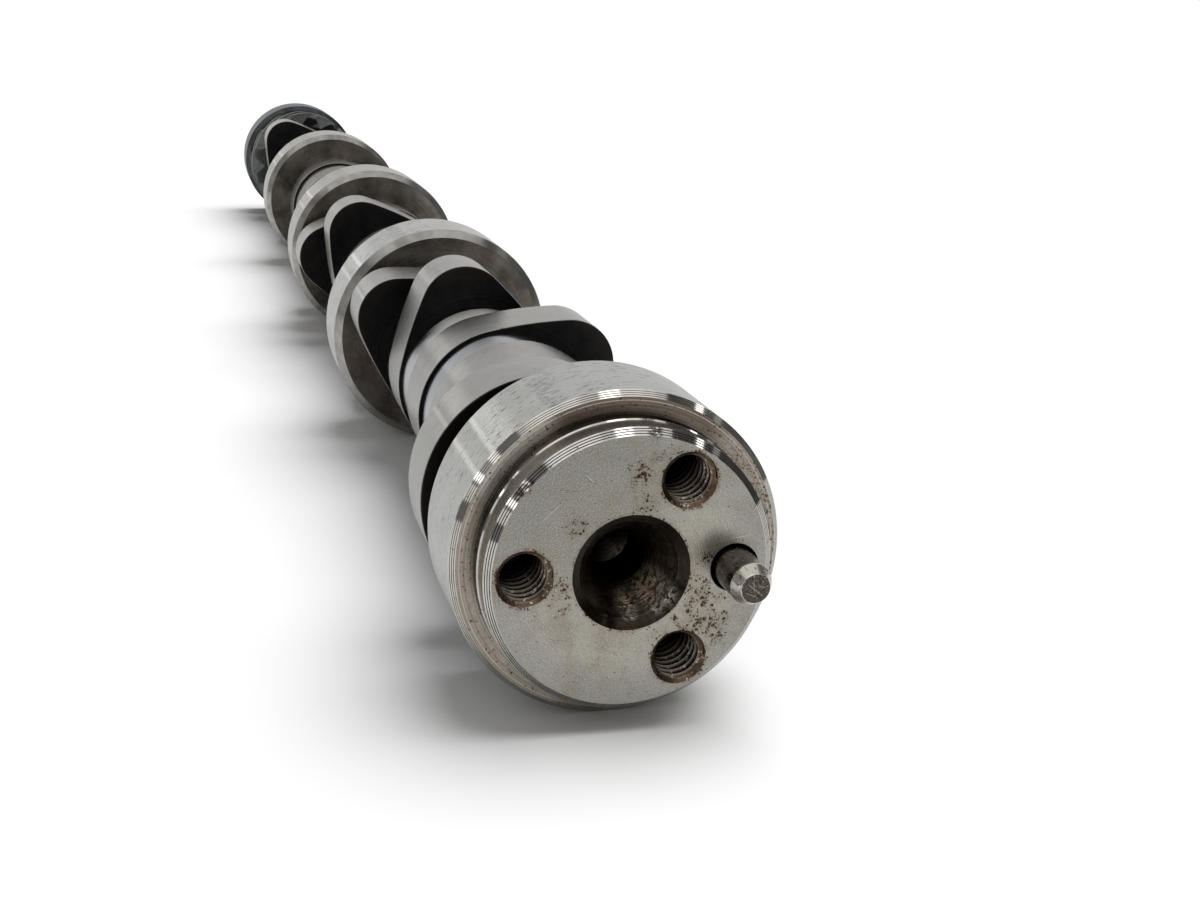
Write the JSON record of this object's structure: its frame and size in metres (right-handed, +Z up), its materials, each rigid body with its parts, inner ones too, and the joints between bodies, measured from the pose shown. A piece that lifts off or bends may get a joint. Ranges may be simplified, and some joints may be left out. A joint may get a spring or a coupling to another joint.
{
  "type": "camshaft",
  "caption": "Pushrod V8 camshaft with bearing journals, ground cam lobes, a fuel pump eccentric, a skew drive gear and a drilled, dowelled sprocket nose.",
  "frame": {"origin": "centre of the nose face, where the cam axis leaves it and the sprocket bolts are centred", "axes": "+Y along the cam axis towards the rear of the engine, +X through the sprocket dowel, +Z up with the shaft lying on its journals"},
  "size_m": [0.0474, 0.5315, 0.0474],
  "materials": {
    "ground_steel": "ground satin, polished bevels, brown specks on the nose",
    "dark_steel": "dark hardened steel"
  },
  "bodies": {
    "root": {"camshaft": "ground_steel", "dowel_pin": "dark_steel"}
  },
  "joints": []
}
